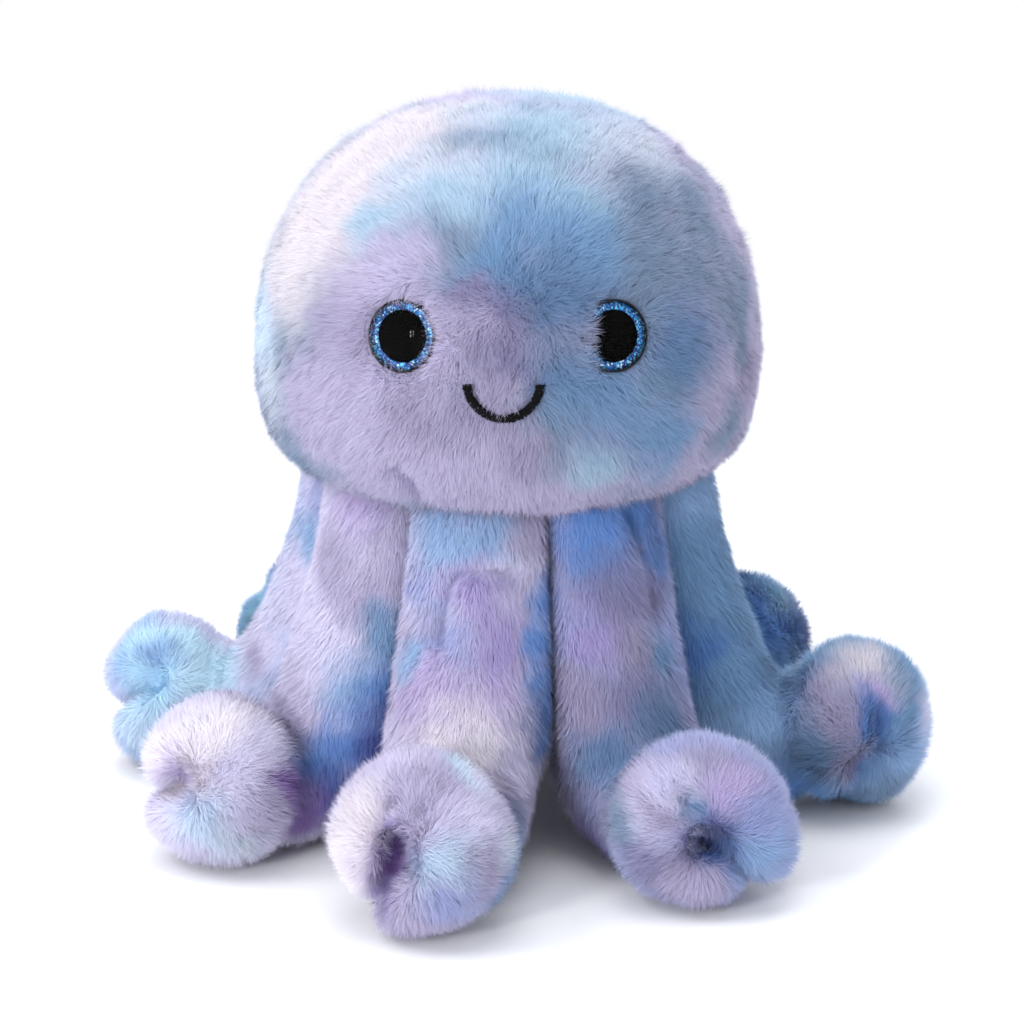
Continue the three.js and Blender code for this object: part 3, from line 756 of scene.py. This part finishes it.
def makeTrunk():
    patches = [(20, -30, 80, 20, "deepBlue"), (-25, -20, 70, 18, "violet"), (0, 30, 60, 24, "sky")]
    finish = dyedPile("faux fur, tie-dyed, trunk", "blue", patches, "periwinkle")
    piece = coverOf("trunk", "trunk_cover", finish, 2.6, 6)
    mesh = piece.data
    places, normals = placesOf(mesh), normalsOf(mesh)
    down = np.array((0, 0, -1.0)) - (normals * (0, 0, -1)).sum(axis=1)[:, None] * normals
    hidden = ramp(normals[:, 2], 0.3, 0.8)
    # foldDepth 0.3 all over: the trunk's dye gets a little painted shade everywhere
    storePile(mesh, down, 0.8, 0.5 - 0.45 * hidden, 0.3)
    movePlaces(mesh, places - normals * (pile["height"] - 0.8) * mm)
    growPile(piece, seed=21)
    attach(piece, "body")
    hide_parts("trunk")


# The round of cloth underneath has a short, upright pile
def makePanel():
    finish = dyedPile("plush, short pile, lavender", "lavender", [], "violet")
    piece = coverOf("base_panel", "base_panel_cloth", finish, 1.3, 3)
    mesh = piece.data
    places, normals = placesOf(mesh), normalsOf(mesh)
    # foldDepth 0.15 all over: the panel's dye gets a little painted shade everywhere
    storePile(mesh, unit(places * (1, 1, 0)) * 0.3, 1.0, 0.35 + 0.4 * ramp(-normals[:, 2], 0.0, 0.6), 0.15, 0.3)
    movePlaces(mesh, places - normals * 0.8 * mm)
    growPile(piece, seed=31, length=1.5)
    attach(piece, "body")
    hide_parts("base_panel")


makeTrunk()
makePanel()
print("trunk and panel done")


# Tentacles: how each lies, as the solids have it, its patches of dye and the folds in its cloth. Depth sets how much
# painted shade the folds, crease and dimple of a curl get.
tentacles = {
    "front": {
        "reach": 1.065, "drift": -0.095, "size": 1.03, "face": -14, "tip": 4, "roll": 0, "dimpleAt": (4, -1), "press": 0.85,
        "depth": 0.5, "ground": "lavender", "second": "lilac",
        "swells": [(-1.4, -94.2, 23.6, 13, 5), (-2.8, -124.7, 26, 14, 4), (-44, -116, 46, 18, -3.5), (-44, -127, 12, 9, 3)],
        "folds": [
            ((-34.7, -128.6, 45), (-33.2, -122, 32), (-35.5, -125, 23), (-37.2, -127, 17), (-38.4, -128.6, 12)),
            ((-22, -68, 76), (-21, -66, 86), (-19, -65, 93), (-15.7, -65, 96.6), (-7, -66, 98), (2, -63, 97)),
        ],
        "patches": [
            (-21, -59, 108, 14, "sky"), (-6, -63, 107, 12, "sky"), (9, -54, 106, 9, "lavender"),
            (-27, -60, 90, 10, "periwinkle"), (-9, -68, 91, 12, "orchid"), (-3, -71, 73, 14, "orchid"),
            (-22, -70, 74, 10, "periwinkle"), (12, -55, 84, 9, "cornflower"), (11, -59, 70, 8, "cornflower"),
            (11, -63, 57, 9, "cornflower"), (10, -67, 47, 9, "deepBlue"), (-26, -75, 58, 14, "rose"),
            (-3, -77, 58, 10, "rose"), (-31, -65, 68, 6, "sky"), (-24, -83, 47, 12, "white"), (-9, -83, 48, 13, "white"),
            (-12, -115, 51, 9, "azure"), (5, -80, 36, 9, "lilac"), (-47, -124, 40, 17, "blush"),
            (-47, -123, 23, 12, "white"), (-23, -128, 49, 8, "lavender"), (-32, -129, 48, 9, "lavender"),
            (-12, -131, 41, 11, "lilac"), (-20, -137, 30, 9, "ice"), (-16, -134, 17, 9, "periwinkle"),
            # the orchid and plum patches that run along the curl's crease are painted shade in the crease
            (-7, -131, 26, 8, "mauve"), (-9, -115, 48, 8, "lilac"), (-35, -126, 38, 6, "orchid"),
            (-35, -122, 30, 9, "plum"), (-37, -126, 24, 7, "plum"), (-38, -129, 16, 6, "orchid"),
            (-3, -125, 30, 7, "frost"), (0, -94, 22, 10, "denim"), (6, -112, 18, 10, "denim"), (0, -122, 14, 11, "denim"),
            (4, -118, 26, 9, "denim"),
        ],
    },
    "front_right": {
        "reach": 0.98, "drift": -0.08, "size": 1.0, "face": -24, "tip": 0, "roll": 80, "press": 0.8, "depth": 0.4,
        "ground": "periwinkle", "second": "mauve",
        "swells": [(74, -101, 16, 13, 5)],
        "folds": [
            ((52.5, -108.8, 40), (56, -106, 32), (59.3, -99.8, 23.3)),
            ((36.5, -48, 111), (40.6, -48.7, 104), (43.5, -49, 95), (46, -50, 84)),
        ],
        "patches": [
            (25, -53, 111, 12, "cornflower"), (40, -47, 109, 12, "deepBlue"), (29, -57, 97, 12, "cornflower"),
            (47, -42, 97, 9, "deepBlue"), (45, -51, 85, 9, "violet"), (34, -59, 85, 12, "violet"),
            (25, -63, 74, 11, "orchid"), (40, -61, 70, 12, "mauve"), (49, -55, 66, 8, "blue"), (22, -67, 55, 11, "mauve"),
            (37, -68, 56, 11, "violet"), (47, -67, 48, 12, "denim"), (28, -74, 38, 12, "denim"), (33, -99, 30, 11, "slate"),
            (39, -109, 19, 10, "violet"), (30, -73, 8, 8, "plum"), (57, -101, 48, 15, "mauve"), (45, -107, 39, 13, "lilac"),
            (39, -99, 42, 9, "lavender"), (69, -104, 43, 10, "rose"), (74, -104, 21, 12, "sky"),
            # the navy, denim and deep blue patches along the curl's crease are painted shade in the crease
            (54, -109, 13, 10, "lavender"), (77, -104, 33, 9, "periwinkle"), (58, -102, 27, 11, "navy"),
            (54, -108, 37, 5, "denim"), (61, -103, 20, 8, "deepBlue"), (45, -108, 35, 7, "mauve"), (69, -34, 31, 8, "rose"),
        ],
    },
    "right": {
        "reach": 1.0, "drift": -0.045, "size": 1.05, "face": -22, "tip": -4, "roll": 30, "dimpleAt": (-13, 0),
        "ground": "blue", "second": "sky",
        "patches": [
            (60, -19, 104, 14, "sky"), (60, -25, 86, 13, "blue"), (68, -24, 71, 12, "blue"), (60, -31, 57, 12, "deepBlue"),
            (74, -28, 47, 12, "blue"), (80, -34, 28, 11, "sky"), (92, -29, 11, 12, "cornflower"),
            (103, -37, 47, 12, "mauve"), (114, -28, 53, 12, "blush"), (107, -43, 38, 12, "mauve"),
            (127, -21, 32, 9, "lilac"), (117, -38, 46, 6, "rose"), (116, -42, 37, 7, "deepBlue"),
            (114, -40, 43, 5, "deepBlue"), (117, -43, 32, 6, "deepBlue"), (124, -25, 12, 10, "slate"),
            (109, -44, 21, 9, "lavender"), (130, -18, 17, 7, "periwinkle"),
        ],
    },
    "back_right": {
        "reach": 0.92, "drift": 0.02, "size": 0.9, "face": 8, "tip": 6, "roll": 10, "ground": "blue", "second": "deepBlue",
        "patches": [
            # the azure patch is painted light on the curl's upper rim, where the light falls
            (89, 49, 40, 20, "cornflower"), (95, 65, 44, 12, "azure"), (98, 51, 28, 10, "sky"), (58, 30, 95, 16, "sky"),
            (70, 44, 70, 13, "periwinkle"), (98, 78, 30, 18, "lavender"), (88, 84, 20, 9, "sky"),
        ],
    },
    "back": {
        "reach": 1.02, "drift": -0.04, "size": 0.96, "face": -10, "tip": 0, "roll": 50, "ground": "lavender",
        "second": "sky",
        "patches": [
            (10, 68, 100, 16, "sky"), (14, 76, 66, 15, "rose"), (18, 90, 40, 12, "blue"), (20, 122, 30, 18, "lilac"),
            (6, 118, 20, 9, "sky"),
        ],
    },
    "back_left": {
        "reach": 0.99, "drift": 0.07, "size": 0.95, "face": 12, "tip": 5, "roll": -20, "ground": "sky",
        "second": "lavender",
        "swells": [(-92, 82, 46, 18, -7)],
        "patches": [
            (-90, 72, 35, 18, "azure"), (-45, 55, 100, 16, "periwinkle"), (-52, 62, 66, 15, "sky"),
            (-60, 74, 38, 12, "rose"), (-78, 96, 28, 14, "lilac"), (-66, 100, 20, 8, "blue"),
        ],
    },
    "left": {
        "reach": 1.03, "drift": -0.02, "size": 0.93, "face": 18, "tip": 18, "roll": -10, "dimpleAt": (15, 8), "depth": 0.7,
        "ground": "lilac", "second": "sky",
        "patches": [
            (-61, -6, 101, 11, "periwinkle"), (-65, -6, 87, 11, "sky"), (-71, -5, 66, 12, "lilac"),
            (-79, -3, 51, 10, "lilac"), (-85, 1, 43, 8, "lavender"), (-66, -43, 60, 9, "lilac"),
            (-115, 11, 46, 12, "azure"), (-105, 11, 46, 10, "azure"), (-115, 8, 44, 7, "sky"), (-126, 6, 12, 8, "sky"),
            (-102, 3, 35, 12, "azure"), (-122, 1, 32, 12, "azure"), (-125, 2, 18, 12, "ice"), (-111, -65, 37, 8, "sky"),
            (-105, -65, 47, 10, "ice"), (-97, 13, 40, 6, "ice"),
        ],
    },
    "front_left": {
        "reach": 0.985, "drift": -0.015, "size": 1.0, "face": 16, "tip": 4, "roll": -35, "press": 0.78, "depth": 0.1,
        "ground": "lilac", "second": "lavender",
        "swells": [(-100, -66, 50, 9, -4.5), (-109.6, -65.9, 20, 8, 3)],
        "patches": [
            (-50, -37, 111, 12, "rose"), (-38, -45, 104, 10, "lavender"), (-43, -42, 109, 5, "orchid"),
            (-56, -39, 91, 12, "lavender"), (-46, -49, 82, 13, "lavender"), (-37, -51, 69, 11, "blue"),
            (-59, -47, 68, 12, "lilac"), (-50, -54, 56, 11, "sky"), (-40, -54, 54, 11, "deepBlue"),
            # the navy and plum patches low on the side towards the front tentacle are painted shadow in the gap between
            # the two
            (-50, -59, 39, 11, "cornflower"), (-40, -55, 39, 13, "navy"), (-61, -63, 33, 9, "deepBlue"),
            (-56, -63, 23, 10, "navy"), (-65, -65, 16, 10, "plum"), (-66, -71, 29, 7, "plum"), (-87, -75, 49, 18, "white"),
            (-95, -76, 38, 14, "white"), (-82, -82, 35, 11, "lilac"), (-94, -80, 19, 12, "ice"),
            (-86, -80, 10, 10, "frost"), (-74, -73, 44, 10, "lilac"), (-100, -67, 31, 9, "rose"),
            (-104, -68, 26, 6, "blush"), (-108, -68, 41, 9, "white"),
        ],
    },
}

ring = {
    "turn": -9, "slice": 22.5, "reach": 112, "curlRadius": 29.5, "curlHalf": 23, "floorFlat": 0.5,
    "seamRadius": 66.44, "seamHeight": 116.12,
}
cloth = {"foldWidth": 3.2, "foldDepth": 3.4, "foldShade": 0.8}
curl = {
    "notch": 232, "notchDepth": 0.2, "notchWidth": 17, "tipShare": 0.78, "fullness": 0.88, "bow": 3.0,
    "dimple": 6.0, "dimpleDepth": 0.74, "crease": 4.2, "creaseDepth": 0.74, "farCrease": 2.8, "farDepth": 0.28,
}


def turnBack(places, angle, axis):
    c, s = math.cos(math.radians(angle)), math.sin(math.radians(angle))
    x, y, z = places.T
    turned = {"X": (x, c * y + s * z, -s * y + c * z), "Y": (c * x - s * z, y, s * x + c * z),
              "Z": (c * x + s * y, -s * x + c * y, z)}
    return np.stack(turned[axis], axis=1)


# From the toy's frame into a tentacle's, which has +X outwards, and on into its curl's, which has +X out of the dimple
def intoCurl(vectors, lie):
    return turnBack(turnBack(turnBack(vectors, lie["face"], "Z"), -lie["tip"], "Y"), lie["roll"], "X")


def outOfCurl(vectors, lie):
    return turnBack(turnBack(turnBack(vectors, -lie["roll"], "X"), lie["tip"], "Y"), -lie["face"], "Z")


def acrossFace(inCurl):
    return np.hypot(inCurl[:, 1], inCurl[:, 2])


# How far the curl's outline reaches at an angle about its axis: least at its tip, with a notch there
def curlOutline(angle, lie):
    turnShare = ((curl["notch"] - angle) / 360) % 1
    growth = curl["tipShare"] + (1 - curl["tipShare"]) * np.sin(turnShare * math.pi / 2)
    toNotch = (angle - curl["notch"] + 180) % 360 - 180
    return lie["size"] * ring["curlRadius"] * growth * (1 - curl["notchDepth"] * bump(toNotch, curl["notchWidth"]))


def dimplePlace(lie):
    return np.array((0, *lie.get("dimpleAt", (0, 0))))


# Where a place lies on the rolled face: how far out, how deep in the roll's crease, and which side of it
def rollAt(inCurl, lie):
    notch = math.radians(curl["notch"])
    inCurl = inCurl - dimplePlace(lie)
    toTip = inCurl[:, 1] * math.cos(notch) + inCurl[:, 2] * math.sin(notch)
    beside = -inCurl[:, 1] * math.sin(notch) + inCurl[:, 2] * math.cos(notch)
    size = lie["size"] * ring["curlRadius"]
    beside = beside - curl["bow"] * np.sin(np.clip(toTip / size, -1, 1) * math.pi)
    dimple = bump(np.hypot(toTip, beside), curl["dimple"])
    near = bump(beside, curl["crease"]) * ramp(toTip, -3, 4)
    far = bump(beside, curl["farCrease"]) * ramp(-toTip, -2, 4) * ramp(-toTip, 0.85 * size, 0.4 * size)
    return dimple, near, far, beside


def fromNeighbour(own):
    half = math.radians(ring["slice"])
    return own[:, 0] * math.sin(half) - np.abs(own[:, 1]) * math.cos(half)


def makeTentacle(at, name):
    lie = tentacles[name]
    title = "faux fur, tie-dyed, " + name.replace("_", " ") + " tentacle"
    finish = dyedPile(title, lie["ground"], lie["patches"], lie["second"])
    piece = coverOf("tentacle_" + name, "tentacle_" + name + "_cover", finish, 2.2, 7)
    turn, notch = -90 + ring["turn"] + 45 * at, math.radians(curl["notch"])
    angles = np.arange(0.0, 360.0, 5.0)
    lift = -(curlOutline(angles, lie) * np.sin(np.radians(angles + lie["roll"]))).min() - ring["floorFlat"]
    middle = np.array((ring["reach"] * lie["reach"], ring["reach"] * lie["drift"], lift))
    toy = np.array(toyMiddle) / mm

    # draw the cover in by the pile's height, less where two tentacles press together and not at the neck seam
    places, normals = placesOf(piece.data) / mm, normalsOf(piece.data)
    own = turnBack(places - toy, turn, "Z")
    pressed = ramp(fromNeighbour(own), 8, 2.5) * ramp(own[:, 2], 20, 45)
    inset = pile["height"] * (1 - 0.62 * pressed)
    places = places - normals * inset[:, None]
    places[:, 2] += 5.0 * ramp(own[:, 2], 90, 112)
    own = turnBack(places - toy, turn, "Z")
    # plump up the rolled face, which the even mesh flattened, and press its crease and dimple in again
    inCurl = intoCurl(own - middle, lie)
    angle = np.degrees(np.arctan2(inCurl[:, 2], inCurl[:, 1]))
    out = (acrossFace(inCurl) + pile["height"]) / curlOutline(angle, lie)
    out = np.clip(out, 0, 0.995) ** (1 / curl["fullness"])
    dimple, near, far, beside = rollAt(inCurl, lie)
    pressedIn = np.maximum(curl["dimpleDepth"] * dimple, curl["creaseDepth"] * near)
    pressedIn = np.maximum(pressedIn, curl["farDepth"] * far) * lie.get("press", 1.0)  # some are tacked less tightly
    plump = lie["size"] * ring["curlHalf"] * np.sqrt(1 - out ** 2) * (1 - pressedIn) - pile["height"] * 0.8
    onFace = ramp(inCurl[:, 0], 1, 7) * ramp(out, 0.995, 0.9) * (np.linalg.norm(inCurl, axis=1) < 1.2 * ring["curlRadius"])
    inCurl[:, 0] += onFace * (plump - inCurl[:, 0])
    own = outOfCurl(inCurl, lie) + middle
    movePlaces(piece.data, (turnBack(own, -turn, "Z") + toy) * mm)
    smoothed(piece, 1.9, 4)

    mesh = piece.data
    places, normals = placesOf(mesh) / mm, normalsOf(mesh)
    own, ownNormals = turnBack(places - toy, turn, "Z"), turnBack(normals, turn, "Z")
    inCurl = intoCurl(own - middle, lie)
    dimple, near, far, beside = rollAt(inCurl, lie)
    size = lie["size"] * ring["curlRadius"]
    outerFace = ramp(inCurl[:, 0], -3, 5) * ramp(acrossFace(inCurl), 1.35 * size, 1.1 * size)
    crease = np.clip(np.maximum(near, 0.7 * far) * outerFace, 0, 1)
    # fold: the curl's dimple and crease, which get a shorter pile and painted shade
    fold = np.maximum(dimple * outerFace, 0.75 * crease)
    onCurl = ramp(np.linalg.norm(inCurl, axis=1) / size, 1.4, 1.0) * ramp(inCurl[:, 0], -20, -2)
    rim = ramp(acrossFace(inCurl) / size, 0.6, 1.0)
    fromDimple = (inCurl - dimplePlace(lie)) * (0, 1, 1)
    fromCurl = unit(fromDimple) * (1 - 0.6 * rim)[:, None] + np.array((-0.9, 0, 0)) * rim[:, None]
    fromCrease = np.sign(beside)[:, None] * np.array((0, -math.sin(notch), math.cos(notch)))
    fromCurl = fromCurl * (1 - 0.8 * crease)[:, None] + fromCrease * (0.8 * crease)[:, None]
    down = np.array((0.35, 0.0, -1.0)) + own * (0, 0.006, 0)
    nap = (1 - onCurl)[:, None] * down + onCurl[:, None] * outOfCurl(fromCurl, lie) * 0.75
    nap = alongCover(nap, ownNormals)
    # fold lines are pressed in, and get painted shade through foldShade
    for line in lie.get("folds", ()):
        tuck = nearLine(places, line, cloth["foldWidth"], pile["height"])
        fold = np.maximum(fold, cloth["foldShade"] * tuck)
        places = places - normals * (cloth["foldDepth"] * tuck)[:, None]
    for *spot, radius, amount in lie.get("swells", ()):  # where the stuffing stands out or falls in
        places = places + normals * (amount * bump(np.linalg.norm(places - spot, axis=1), radius))[:, None]
    movePlaces(mesh, places * mm)
    deep = ramp(fromNeighbour(own), 5, 1.5) * ramp(own[:, 2], 20, 45)
    inner = ramp(-ownNormals[:, 0], 0.2, 0.7) * (own[:, 2] > 15)
    density = 1 - 0.45 * np.maximum(deep, inner)
    tall = (1 - 0.55 * fold) * (1 - 0.25 * deep)
    # painted shade in folds, crease and dimple, scaled by the tentacle's depth, goes in as foldDepth
    storePile(mesh, turnBack(nap, -turn, "Z"), tall, density, lie.get("depth", 1.0) * fold, 0.7)
    growPile(piece, seed=40 + 20 * at)
    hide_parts("tentacle_" + name)
    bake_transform(piece)


for at, name in enumerate(tentacles):
    makeTentacle(at, name)
bpy.data.objects.remove(fibre)
print("tentacles done")


# Floor and light
floorMaterial, tree = newMaterial("seamless paper, pale")  # a matt sheet, which gives a soft shadow and no shine
paper = addNode(tree, "ShaderNodeBsdfPrincipled", {
    "Base Color": linear("#f6f6f8"), "Roughness": 0.9, "Specular IOR Level": 0.1})
glow = addNode(tree, "ShaderNodeEmission", {"Color": (1, 1, 1, 1), "Strength": 1.0})
faded = remap(tree, vectorNode(tree, "LENGTH", objectPlace(tree)), (0.25, 0.75))
finishMaterial(tree, addNode(tree, "ShaderNodeMixShader", {0: faded, 1: paper.outputs[0], 2: glow.outputs[0]}))
bm = bmesh.new()
bmesh.ops.create_grid(bm, x_segments=2, y_segments=2, size=3)
floor = pieceFromBmesh(bm, "floor", floorMaterial)

world = bpy.data.worlds.new("studio")
bpy.context.scene.world = world
world.use_nodes = True
tree = world.node_tree
tree.nodes.clear()
rays = addNode(tree, "ShaderNodeLightPath")
seen = mathNode(tree, "MAXIMUM", rays.outputs["Is Camera Ray"], rays.outputs["Is Transmission Ray"])
seen = mathNode(tree, "MAXIMUM", seen, rays.outputs["Is Glossy Ray"])
soft = addNode(tree, "ShaderNodeBackground", {"Color": (0.92, 0.95, 1.0, 1.0), "Strength": 0.95})
white = addNode(tree, "ShaderNodeBackground", {"Color": (1.0, 1.0, 1.0, 1.0), "Strength": 1.0})
mixed = addNode(tree, "ShaderNodeMixShader", {0: seen, 1: soft.outputs[0], 2: white.outputs[0]})
addNode(tree, "ShaderNodeOutputWorld", {"Surface": mixed.outputs[0]})

lamps = {
    "key": {"place": (-0.75, -0.3, 0.95), "shape": "DISK", "size": 0.55, "power": 3.6, "colour": (1.0, 0.985, 0.965)},
    "window": {"place": (-0.57, -0.94, 0.39), "shape": "SQUARE", "size": 0.17, "power": 5.8, "colour": (1.0, 1.0, 1.0)},
    "top": {"place": (0.0, -0.2, 1.2), "shape": "DISK", "size": 0.8, "power": 4.7, "colour": (0.97, 0.985, 1.0)},
    "back": {"place": (0.35, 1.0, 0.75), "shape": "DISK", "size": 0.8, "power": 5.0, "colour": (1.0, 1.0, 1.0)},
}
for name, lamp in lamps.items():
    data = bpy.data.lights.new(name, "AREA")
    data.shape, data.size, data.energy, data.color = lamp["shape"], lamp["size"], lamp["power"], lamp["colour"]
    light = addObject(name, data)
    light.location = lamp["place"]
    light.rotation_euler = (Vector((0, 0, 0.12)) - light.location).to_track_quat("-Z", "Y").to_euler()
print("light done")

bpy.context.scene.view_settings.view_transform = "Standard"
